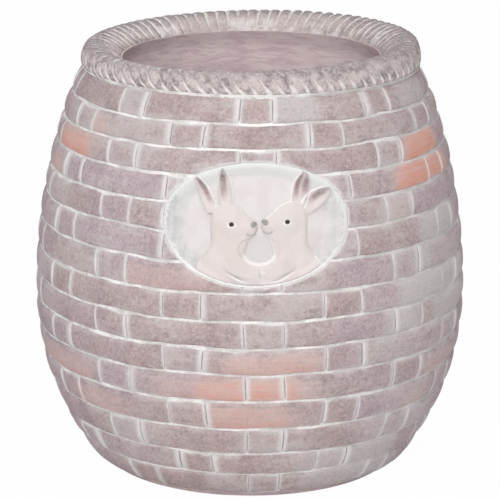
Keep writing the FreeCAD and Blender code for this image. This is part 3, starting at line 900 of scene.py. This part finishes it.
rope_inputs = {"Section": "Object", "Material": "Material"}
rope_inputs.update({size: "Float" for size in ROPE_SIZES})
graph = new_tree("rope_rim", rope_inputs)
factor = graph.node("GeometryNodeSplineParameter", {}, {}, "Factor")
ring = graph.node("GeometryNodeCurvePrimitiveCircle", {}, {"Resolution": RIBS * STEPS_PER_RIB, "Radius": 1.0})
ring = keep(graph, ring, "round", factor)
sockets = {"Curve": shape_of(graph, "Section"), "Count": STEPS_ABOUT}
profile = graph.node("GeometryNodeResampleCurve", {}, sockets)
profile = keep(graph, profile, "cut", graph.node("GeometryNodeInputPosition", {}, {}), "FLOAT_VECTOR")
profile = keep(graph, profile, "arc", factor.out("Length"))
rope = graph.node("GeometryNodeCurveToMesh", {}, {"Curve": ring, "Profile Curve": profile})
cut = graph.parts(carried(graph, "cut", "FLOAT_VECTOR"))
width = given(graph, "Width")
height = given(graph, "Height")
inner_radius = given(graph, "Inner radius")
out_share = cut / width
up_share = cut.out("Z") / height
way = carried(graph, "round") * (2 * math.pi)
ring_spot = graph.joined(way.math("SINE"), way.math("COSINE"), out_share * 0.25 + up_share * 0.1)
uneven = (graph.grain(ring_spot, 9.0, 2.0) - 0.5) * given(graph, "Unevenness")
phase = (carried(graph, "round") * given(graph, "Ribs") + uneven).math("FRACT")
slack = 1 - (phase * math.pi).math("SINE")
ribbed = graph.ease(out_share, -0.06, 0.16)
groove = (slack ** 1.3 * 0.5 + slack ** 4.0 * 0.5) * ribbed
lumps = (graph.grain(ring_spot, 14.0, 3.0) - 0.5) * given(graph, "Lumps") * ribbed
sunk = 1 - (groove * given(graph, "Groove") - lumps) / height
tilt = (way - given(graph, "High side turn")).math("COSINE") * given(graph, "Tilt")
stretch = 1 + (tilt - given(graph, "Settling")) / height
radius = inner_radius + width * (0.5 + (out_share - 0.5) * sunk)
settled = 1 + (sunk * stretch - 1) * graph.ease(up_share, 0.1, 0.6)
level = given(graph, "Foot level") + cut.out("Z") * settled
arc = carried(graph, "arc")
climb = arc.least(ROPE_FACE) - ROPE_FACE / 2
lean = climb * given(graph, "Slant") - (arc - ROPE_FACE).most(0) * 0.1
leaning = way - lean / (inner_radius + width)
rope = keep(graph, rope, "groove", groove)
rope = keep(graph, rope, "phase", phase)
rope = keep(graph, rope, "share", graph.joined(out_share, up_share, way), "FLOAT_VECTOR")
rope = set_round(graph, rope, leaning, radius, level)
end_tree(graph, rope)
rope_growth = graph

washed_rope, graph = finish_of("washed_rope")
spot = graph.spot()
share = graph.parts(graph.reading("share", "Vector"))
up_share = share.out("Y")
groove = graph.reading("groove")
phase = graph.reading("phase")
stipple = graph.grain(spot, 620.0, 3.0, 0.75)
mottle = graph.grain(spot, 130.0, 4.0, 0.65)
patches = graph.grain(spot, 42.0, 3.0)
way = share.out("Z")
to_front = way.math("COSINE")
to_right = way.math("SINE")
front = graph.ease(to_front, 0.2, 0.8)
back = graph.fade((way - math.pi).math("ABSOLUTE") + (patches - 0.5) * 1.5, 0.3, 0.9)
inner = graph.fade(share, 0.3, 0.58)
outer = graph.ease(share, 0.7, 0.9)
crest = graph.ease(up_share, 0.76, 0.96)
colour = graph.blend(graph.ease(mottle, 0.36, 0.58), ROPE_DARK, ROPE_MAUVE)
colour = graph.blend(crest * (0.45 + mottle * 0.6) * (1 - front * 0.5), colour, ROPE_DARK)
colour = graph.blend(inner * (0.2 + mottle * 0.4 + back * 0.5), colour, ROPE_PINK)
bare_side = graph.ease(to_right + (patches - 0.5) * 0.6, 0.15, 0.7) * graph.ease(to_front, -0.1, 0.5)
shadow_side = graph.ease(phase + (mottle - 0.5) * 0.5, 0.55, 0.12) * (1 - outer * 0.7) * (1 - inner * back)
shadow_side = shadow_side * (1 - front * 0.4 + graph.ease(to_right, -0.2, -0.8) * 0.35)
colour = graph.blend(shadow_side * (0.35 + patches * 0.8), colour, ROPE_DARK)
colour = graph.blend(graph.ease(stipple, 0.5, 0.66) * 0.75, colour, ROPE_WARM)
colour = graph.blend(graph.ease(stipple, 0.45, 0.33) * 0.5, colour, ROPE_DARK)
hem = outer * graph.fade(up_share, 0.25, 0.95)
drop = graph.ease(groove + (mottle - 0.5) * 0.3, 0.62 - hem * 0.52, 0.8 - hem * 0.44) * hem
thin = graph.ease(groove + (mottle - 0.5) * 0.6, 0.42, 0.75)
thin = thin * (0.15 + graph.ease(patches + mottle * 0.5, 0.5, 0.85) * 0.85)
thin = thin * (1 - front * graph.ease(up_share, 0.35, 0.8) * 0.6) * (1 - bare_side * 0.6)
upper = graph.ease(groove + (mottle - 0.5) * 0.7, 0.16, 0.5) * (1 - outer) * (0.45 + patches * 0.9)
upper = upper * (1 - inner * back * 0.65) * (1 - front * 0.35) * (1 - bare_side * 0.55)
dab = graph.ease(patches + mottle * 0.4, 0.72, 0.84) * graph.fade(share, 0.14, 0.34) * 0.6
foot = outer * graph.fade(up_share + (mottle - 0.5) * 0.1, 0.10, 0.2) * 0.4
wash = thin.most(drop, upper, dab, foot)
colour = graph.blend(wash * 0.9, colour, ROPE_WASH)
surface(graph, colour, 0.93, stipple, 0.6 * MM)

inputs = {"Section": rope_section, "Material": washed_rope}
inputs.update(ROPE_SIZES)
rope = grown("rope", rope_growth, bpy.data.meshes.new("rope_start"), inputs)
tidy_faces(rope, 75.0)
wear(rope, washed_rope, "rope", "rope_rim")


# The plaque.
# An oval dish of pale cast stone, let into a pocket in the wall. A narrow lip runs round it, and inside that
# its sides slope down to a sunk field.
FIELD_DEPTH = 5.6 * MM
LIP_DEPTH = 1.0 * MM
LIP_EDGE_DEPTH = 1.1 * MM
# The shaded hollow between the rabbits: its place and its size
BOWL = (2.8 * MM, -14.5 * MM, 11.5 * MM)
SLOPE_START = 0.77
SLOPE_END = 0.965
LIP_EDGE = 0.982
SPOKES = 200
PLAQUE_PALE = paint(218, 213, 212)
PLAQUE_PINK = paint(214, 206, 206)
PLAQUE_GREY = paint(190, 190, 190)
PLAQUE_BLUE = paint(206, 202, 203)
PLAQUE_WHITE = paint(222, 223, 221)
LIP_HIGHLIGHT = paint(246, 245, 244)


def dish(along, up):
    """The depth of the plaque's face, and how far out a place is from its middle to its edge."""
    out = np.hypot(along / PLAQUE_HALF_WIDTH, up / PLAQUE_HALF_HEIGHT)
    slope = np.clip((out - SLOPE_START) / (SLOPE_END - SLOPE_START), 0, 1)
    slope = slope * slope * (3 - 2 * slope)
    edge = np.clip((out - LIP_EDGE) / (1 - LIP_EDGE), 0, 1) ** 2
    depth = FIELD_DEPTH + (LIP_DEPTH - FIELD_DEPTH) * slope + (LIP_EDGE_DEPTH - LIP_DEPTH) * edge
    return depth, out


pale_stone, graph = finish_of("pale_stone")
spot = graph.spot()
dust = graph.grain(spot, 420.0, 3.0, 0.6)
clouds = graph.grain(spot, 60.0, 3.0, 0.6)
sockets = {"Vector": spot, "Rotation": (0, 0.5, 0), "Scale": (330.0, 90.0, 70.0)}
strokes = graph.grain(graph.node("ShaderNodeMapping", {}, sockets), 1.0, 3.0, 0.6)
coarse = graph.grain(spot, 210.0, 4.0, 0.75)
out, across, rise = [graph.reading(name) for name in ("out", "across", "rise")]
colour = graph.blend(graph.ease(clouds, 0.4, 0.62), PLAQUE_PALE, PLAQUE_PINK)
colour = graph.blend(graph.reading("bowl") * (0.5 + coarse * 0.5), colour, PLAQUE_BLUE)
side = graph.ease(out + (clouds - 0.5) * 0.3 + (strokes - 0.5) * 0.12, 0.72, 0.88)
# Painted light: the upper part of the sloping side is whitened against the shade on its downward face.
colour = graph.blend(side * graph.ease(rise, -0.2, 0.6) * 0.85, colour, PLAQUE_WHITE)
shade = side * graph.fade(rise, 0.3, 0.85) * (0.72 - across * 0.16)
shade = shade * (0.45 + graph.ease(strokes * 0.5 + coarse * 0.5, 0.58, 0.42) * 0.75)
colour = graph.blend(shade, colour, PLAQUE_GREY)
lip = graph.ease(out + (dust - 0.5) * 0.08 + (coarse - 0.5) * 0.12, 0.945, 0.975)
colour = graph.blend(lip * 0.8, colour, PLAQUE_WHITE)
# Painted highlight: the lower part of the lip, which faces up, is painted brightest white.
lip_highlight = graph.ease(out + (dust - 0.5) * 0.03, 0.96, 0.985) * graph.fade(rise, -0.75, -0.3)
colour = graph.blend(lip_highlight, colour, LIP_HIGHLIGHT)
surface(graph, colour, 0.9, dust, 0.3 * MM)

spans = ((0.02, 0.74, 26), (0.755, 0.975, 24), (LIP_EDGE - 0.002, 1.0, 6))
shares = np.concatenate([np.linspace(*span) for span in spans])
turns = np.linspace(0, 2 * math.pi, SPOKES, endpoint=False)
along = PLAQUE_HALF_WIDTH * shares[:, None] * np.cos(turns)
up = PLAQUE_HALF_HEIGHT * shares[:, None] * np.sin(turns)
depth, out = dish(along, up)
face = on_front(along, up, depth).reshape(-1, 3)
back = on_front(along[[-1, 0]], up[[-1, 0]], np.full((2, 1), PLAQUE_BACK)).reshape(-1, 3)
middles = [on_front(np.zeros(1), np.zeros(1), level) for level in (FIELD_DEPTH, PLAQUE_BACK)]
rings = len(shares) + 2
faces = []
for here in range(SPOKES):
    there = (here + 1) % SPOKES
    for ring in range(rings - 1):
        low = ring * SPOKES
        high = low + SPOKES
        faces.append((low + here, high + here, high + there, low + there))
    faces.append((here, there, rings * SPOKES))
    faces.append(((rings - 1) * SPOKES + there, (rings - 1) * SPOKES + here, rings * SPOKES + 1))
plaque = mesh_object("plaque", np.concatenate((face, back, *middles)), faces)
bowl = np.clip(1.5 - np.hypot(along - BOWL[0], up - BOWL[1]) / BOWL[2] * 1.5, 0, 0.5) * 2
places = {"out": out, "across": along / PLAQUE_HALF_WIDTH, "rise": up / PLAQUE_HALF_HEIGHT, "bowl": bowl}
for label, values in places.items():
    mark(plaque.data, label, np.concatenate((values.ravel(), np.ones(2 * SPOKES), np.zeros(2))))
tidy_faces(plaque, 60.0)
wear(plaque, pale_stone, "plaque", "medallion_plaque")


# The two rabbits.
# Low-relief figures of the same pale stone, modelled on the field nose to nose with their paws together.
# Their ears lie up the sloping side. Shade in the hollows and under the arms, and highlights on the edges,
# are painted, as are the noses and eyes.
RELIEF_FADE = 0.955
RELIEF_END = 0.985
# Lengths are in millimetres, and places are out from the nose line and up from the middle of the plaque
NOSE_LINE = 2.2
GRID = 0.45
GRID_OUT = (-0.25, 50.0)
GRID_UP = (-37.0, 37.0)
SINK = 0.5
BACK_SINK = 0.9
RELIEF_FALL = 120
RABBIT_OUTLINE = (
    (1.4, 0.2), (2.8, 1.7), (7.0, 5.0), (11.2, 8.8), (15.0, 11.1), (18.5, 12.1), (23.5, 11.4), (27.4, 9.3),
    (29.3, 5.5), (29.7, -3.0), (29.5, -10.6), (31.0, -15.4), (34.2, -19.4), (36.6, -23.4), (37.0, -28.0),
    (33.0, -34.0), (16.0, -38.0), (-6.0, -38.0), (-6.0, -31.0), (-6.0, -22.6), (0.0, -23.0), (3.6, -22.5),
    (6.6, -21.0), (8.5, -18.6), (8.0, -14.8), (7.4, -12.2), (6.4, -9.7), (4.6, -7.9), (2.6, -6.6),
    (1.5, -4.6), (0.9, -1.8),
)
ARM_OUTLINE = (
    (-6.0, -22.8), (0.0, -23.0), (7.0, -21.3), (12.0, -18.0), (20.0, -18.5), (25.0, -23.0), (20.0, -27.7),
    (14.0, -31.0), (9.0, -32.8), (0.0, -33.4), (-6.0, -33.4),
)
# Each ear's foot, tip and half width, the inner ear's dark stripes by their place across it, and its rise
RABBIT_EARS = {
    -1: (
        ((28.2, 6.5), (38.4, 28.6), 4.7, (-0.3,), 2.2),
        ((20.0, 8.0), (21.4, 33.2), 5.2, (0.15,), 2.8),
    ),
    1: (
        ((27.5, 7.0), (43.0, 18.6), 6.2, (-0.25,), 2.2),
        ((23.4, 8.0), (26.8, 30.2), 5.8, (-0.42, 0.45), 2.8),
    ),
}
EAR_EDGE = 1.8
EAR_HOLLOW = 1.5
HEAD_LIFT = {-1: 0.5, 1: 1.8}
BODY_LIFT = 0.7
HEAD_FOOT = -14.0
HEAD_BLEND = 10.0
BODY_RISE = 2.9
BODY_EDGE = 4.0
ARM_RISE = 1.3
ARM_EDGE = 1.8
ARM_END = 23.0
ARM_FADE = 9.0
# Soft swellings of the cheek, the muzzle and the flank: place, size and rise
SOFT_FORMS = ((17.0, 0.0, 10.0, 1.5), (7.0, -1.6, 6.5, 1.2), (26.0, -26.0, 9.0, 0.9))
# The eye's place and radius, and the nose's place, half width and half height
EYE = (16.5, -0.1, 1.5)
NOSE = (3.3, -0.2, 2.2, 1.9)
MOUTH = ((1.4, -2.6), (1.6, -4.8), (3.4, -6.6), (5.4, -6.9), (7.4, -6.0))
FINGERS = (((1.0, -26.3), (2.6, -26.7)), ((0.4, -28.0), (3.3, -28.3)), ((1.3, -29.7), (2.9, -29.4)))
PAW = ((7.1, -9.1), (11.0, -11.5), (12.4, -14.5), (11.8, -18.0), (7.5, -21.2))
FUR_PALE = paint(216, 207, 205)
FUR_PINK = paint(213, 202, 199)
FUR_WHITE = paint(240, 238, 237)
FUR_SHADE = paint(178, 172, 174)
ARM_SHADE_MAUVE = paint(190, 178, 182)
EAR_MAUVE = paint(166, 134, 143)
EAR_BROWN = paint(96, 90, 90)
EYE_BROWN = paint(58, 44, 42)
NOSE_GREY = paint(158, 154, 152)

painted_fur, graph = finish_of("painted_fur")
spot = graph.spot()
dust = graph.grain(spot, 420.0, 3.0, 0.6)
clouds = graph.grain(spot, 55.0, 3.0, 0.6)
colour = graph.blend(graph.ease(clouds, 0.4, 0.62), FUR_PALE, FUR_PINK)
# Painted shade: mauve below the arms at the foot of each body.
colour = graph.blend(graph.reading("lap") * 0.7, colour, ARM_SHADE_MAUVE)
smears = graph.grain(spot, 320.0, 4.0, 0.8)
ear = graph.blend(graph.ease(smears + graph.reading("tip") * 0.3, 0.58, 0.76), EAR_MAUVE, EAR_BROWN)
colour = graph.blend(graph.reading("ear") * (0.42 + graph.ease(smears, 0.62, 0.36) * 0.6), colour, ear)
# Painted shade in the creases: under the arms, round the ears, along the paws and between the fingers.
colour = graph.blend(graph.reading("crease") * 0.75, colour, FUR_SHADE)
colour = graph.blend(graph.reading("highlight") * (0.5 + clouds * 0.7), colour, FUR_WHITE)
colour = graph.blend(graph.reading("nose"), colour, NOSE_GREY)
colour = graph.blend(graph.reading("eye"), colour, EYE_BROWN)
surface(graph, colour, 0.88, dust, 0.3 * MM)


def smooth_loop(points, steps=6):
    """A closed line through listed points, rounded between them."""
    here = np.array(points)
    before, after, beyond = [np.roll(here, shift, 0) for shift in (1, -1, -2)]
    share = np.linspace(0, 1, steps, endpoint=False)[:, None, None]
    bend = 2 * here + share * (after - before) + share ** 2 * (2 * before - 5 * here + 4 * after - beyond)
    bend = (bend + share ** 3 * (3 * here - before - 3 * after + beyond)) / 2
    return bend.transpose(1, 0, 2).reshape(-1, 2)


def line_gap(out, up, start, end):
    """The distance from a straight line between two places."""
    run, rise = np.subtract(end, start)
    share = ((out - start[0]) * run + (up - start[1]) * rise) / (run * run + rise * rise)
    share = np.clip(share, 0, 1)
    return np.hypot(out - start[0] - share * run, up - start[1] - share * rise)


def lines_gap(out, up, lines):
    """The distance from the nearest of some straight lines."""
    return np.min([line_gap(out, up, *ends) for ends in lines], 0)


def depth_inside(out, up, loop):
    """How far inside a closed line each place is, and less than nothing outside it."""
    gap = np.full(out.shape, np.inf)
    inside = np.zeros(out.shape, bool)
    for start, end in zip(loop, np.roll(loop, -1, 0)):
        gap = np.minimum(gap, line_gap(out, up, start, end))
        crosses = (start[1] > up) != (end[1] > up)
        rise = end[1] - start[1]
        if rise:
            inside ^= crosses & (out < start[0] + (up - start[1]) * (end[0] - start[0]) / rise)
    return np.where(inside, gap, -gap)


def rounded(gap, width):
    """A rounded edge that rises from nothing to 1 over a width."""
    return np.sqrt(1 - (1 - np.clip(gap / width, 0, 1)) ** 2)


def stroke(gap, width):
    """1 on a line and nothing beyond its width, with a soft edge."""
    return np.clip(1.5 - np.abs(gap) / width * 1.5, 0, 1)


def ears_of(side, out, up):
    """The rise of a rabbit's ears and the paint on them: dark stripes, edge line, rim line and tip."""
    ears = np.full(out.shape, -9.0)
    stripes, edge_line, rim_line, tips = np.zeros((4, *out.shape))
    for foot, tip, half_width, dark, rise in RABBIT_EARS[side]:
        run, climb = np.subtract(tip, foot)
        length = math.dist(foot, tip)
        along = ((out - foot[0]) * run + (up - foot[1]) * climb) / length ** 2
        across = ((out - foot[0]) * climb - (up - foot[1]) * run) / length
        half = half_width * np.clip(np.sin(np.pi * np.clip(0.18 + 0.82 * along, 0, 1)), 0, 1) ** 0.6
        beyond = np.hypot(across, (np.abs(along - 0.5) - 0.5) * length)
        gap = np.where((along > 0) & (along < 1), half - np.abs(across), -beyond)
        hollow = np.clip(1 - (across / half_width / 0.62) ** 2, 0, 1)
        hollow *= np.clip(1 - ((along - 0.52) / 0.4) ** 2, 0, 1)
        shape = rise * rounded(gap, EAR_EDGE) - EAR_HOLLOW * hollow
        ears = np.maximum(ears, np.where(gap > 0, shape, gap))
        for place in dark:
            streak = stroke(across / half_width - place, 0.5)
            streak *= np.clip(1.5 - np.abs(along - 0.64) * 3.2, 0, 1)
            stripes = np.maximum(stripes, streak)
        edge_line = np.maximum(edge_line, stroke(gap - 0.3, 0.9))
        rim_line = np.maximum(rim_line, stroke(gap - 1.3, 0.8) * (along > 0.15))
        tips = np.maximum(tips, np.clip(along, 0, 1) * (gap > 0))
    return ears, stripes, edge_line, rim_line, tips


def sheet(cells):
    """The corners that some cells of a grid use, and the faces of a closed sheet over those cells."""
    used = np.zeros(np.add(cells.shape, 1), bool)
    for rows in (slice(None, -1), slice(1, None)):
        for columns in (slice(None, -1), slice(1, None)):
            used[rows, columns] |= cells
    count = int(used.sum())
    number = np.full(used.shape, -1)
    number[used] = np.arange(count)
    faces = []
    for row, column in np.argwhere(cells):
        quad = number[[row, row, row + 1, row + 1], [column, column + 1, column + 1, column]].tolist()
        faces.append(quad)
        faces.append([corner + count for corner in quad[::-1]])
    edges = dict.fromkeys(edge for quad in faces[::2] for edge in zip(quad, quad[1:] + quad[:1]))
    for first, second in edges:
        if (second, first) not in edges:
            faces.append((second, first, first + count, second + count))
    return used, faces


for side, name in ((-1, "left_rabbit"), (1, "right_rabbit")):
    out, height = np.meshgrid(np.arange(*GRID_OUT, GRID), np.arange(*GRID_UP, GRID))
    up = height - BODY_LIFT
    head_up = up - (HEAD_LIFT[side] - BODY_LIFT) * np.clip((height - HEAD_FOOT) / HEAD_BLEND, 0, 1)
    body_gap = depth_inside(out, head_up, smooth_loop(RABBIT_OUTLINE))
    arm_gap = depth_inside(out, up, smooth_loop(ARM_OUTLINE))
    body = np.where(body_gap > 0, BODY_RISE * rounded(body_gap, BODY_EDGE), body_gap)
    for middle, level, size, rise in SOFT_FORMS:
        swell = np.clip(1 - ((out - middle) ** 2 + (head_up - level) ** 2) / size ** 2, 0, 1) ** 2
        body += rise * swell * (body_gap > 0)
    reach = np.clip((ARM_END - out) / ARM_FADE, 0, 1)
    apart = np.clip((out - 3) / 9, 0.15, 1)
    body += ARM_RISE * rounded(arm_gap, ARM_EDGE) * reach * (body_gap > 0)
    ears, stripes, ear_line, ear_rim, ear_tip = ears_of(side, out, head_up)
    over = body > np.maximum(ears, 0.3)
    eye_gap = np.hypot(out - EYE[0], (head_up - EYE[1]) * 1.1) - EYE[2]
    lid_gap = np.hypot((out - EYE[0]) / 3.4, (head_up - EYE[1] + 0.6) / 2.0) - 1
    nose_up = (head_up - NOSE[1]) / NOSE[3]
    nose_width = NOSE[2] * (0.9 + 0.3 * np.clip(nose_up, -1, 1))
    nose_gap = np.hypot((out - NOSE[0] + nose_up * 0.6) / nose_width, nose_up) - 1
    mouth_gap = lines_gap(out, head_up, zip(MOUTH, MOUTH[1:]))
    finger_gap = lines_gap(out, up, FINGERS)
    fingers = stroke(finger_gap, 0.7) * (side > 0)
    paw_gap = lines_gap(out, up, zip(PAW, PAW[1:]))
    paw = stroke(paw_gap, 0.9) * (0.75 - 0.25 * side) * (body_gap > 0)
    body += 0.4 * np.clip(-nose_gap * 2, 0, 1) + 0.3 * np.clip(-eye_gap, 0, 1) + 0.3 * fingers
    body -= 0.6 * stroke(mouth_gap, 0.7) + 0.45 * paw
    along = (NOSE_LINE + side * out) * MM
    base, oval_share = dish(along, height * MM)
    flat = np.minimum(FIELD_DEPTH - body * MM, base - 0.3 * body * MM)
    depth = np.minimum(flat, base - ears * MM) + np.maximum(oval_share - RELIEF_FADE, 0) * RELIEF_FALL * MM
    kept = (np.maximum(body, ears) > -SINK) & (oval_share < RELIEF_END)
    used, faces = sheet(kept[:-1, :-1] & kept[1:, :-1] & kept[:-1, 1:] & kept[1:, 1:])
    front = on_front(along, height * MM, depth)[used]
    behind = on_front(along, height * MM, np.maximum(base, depth) + BACK_SINK * MM)[used]
    figure = mesh_object(name + "_relief", np.concatenate((front, behind)), faces)
    arm_foot = (up < -22.5) * (out < 24) * reach
    # Painted shade along the creases of the relief.
    crease_shades = (
        stroke(arm_gap + 0.2, 0.9) * arm_foot * apart,
        ear_rim * ~over * 0.5,
        paw * 0.4,
        stroke(finger_gap, 1.5) * 0.25 * np.clip(out / 2, 0, 1) * (side > 0),
    )
    highlights = (
        stroke(body_gap - 0.2, 0.9) * over * (0.55 + 0.3 * side),
        stroke(body_gap - 0.7, 1.3) * (out < 11) * (up < -18) * (up > -26),
        stroke(arm_gap + 1.3, 0.6) * arm_foot * apart,
        ear_line * ~over,
        np.clip(-lid_gap * 2, 0, 0.7),
        fingers * 0.7,
    )
    marks = {
        "ear": stripes * ~over,
        "tip": ear_tip,
        "eye": np.clip(-eye_gap / 0.3 + 0.5, 0, 1),
        "nose": np.maximum(np.clip(-nose_gap * 4 + 0.5, 0, 1), stroke(mouth_gap, 0.75) * 0.5),
        "crease": np.max(crease_shades, 0),
        # Painted shade below the arms, stronger on the left rabbit.
        "lap": np.clip(-arm_gap / 1.5, 0, 1) * arm_foot * (1.0 if side < 0 else 0.35),
        "highlight": np.max(highlights, 0),
    }
    for label, values in marks.items():
        mark(figure.data, label, np.tile(values[used], 2))
    tidy_faces(figure, 70.0)
    wear(figure, painted_fur, "rabbit", name)


# The drain plug.
# A moulded rubber stopper with a flange and a knob, pushed into the drain hole from inside the pot.
RUBBER_DARK = paint(74, 72, 72)
RUBBER_WORN = paint(104, 100, 99)

moulded_rubber, graph = finish_of("moulded_rubber")
spot = graph.spot()
bloom = graph.grain(spot, 160.0, 4.0, 0.6)
pores = graph.grain(spot, 1500.0, 2.0)
colour = graph.blend(graph.ease(bloom, 0.4, 0.65), RUBBER_DARK, RUBBER_WORN)
surface(graph, colour, 0.7, pores, 0.15 * MM)
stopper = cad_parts["drain_plug"]
stopper.data.materials.clear()
stopper.data.materials.append(moulded_rubber)


# The helper objects are taken away.
for aid in (pocket, opening, wall_line, rope_section):
    bpy.data.objects.remove(aid)
bpy.context.view_layer.update()
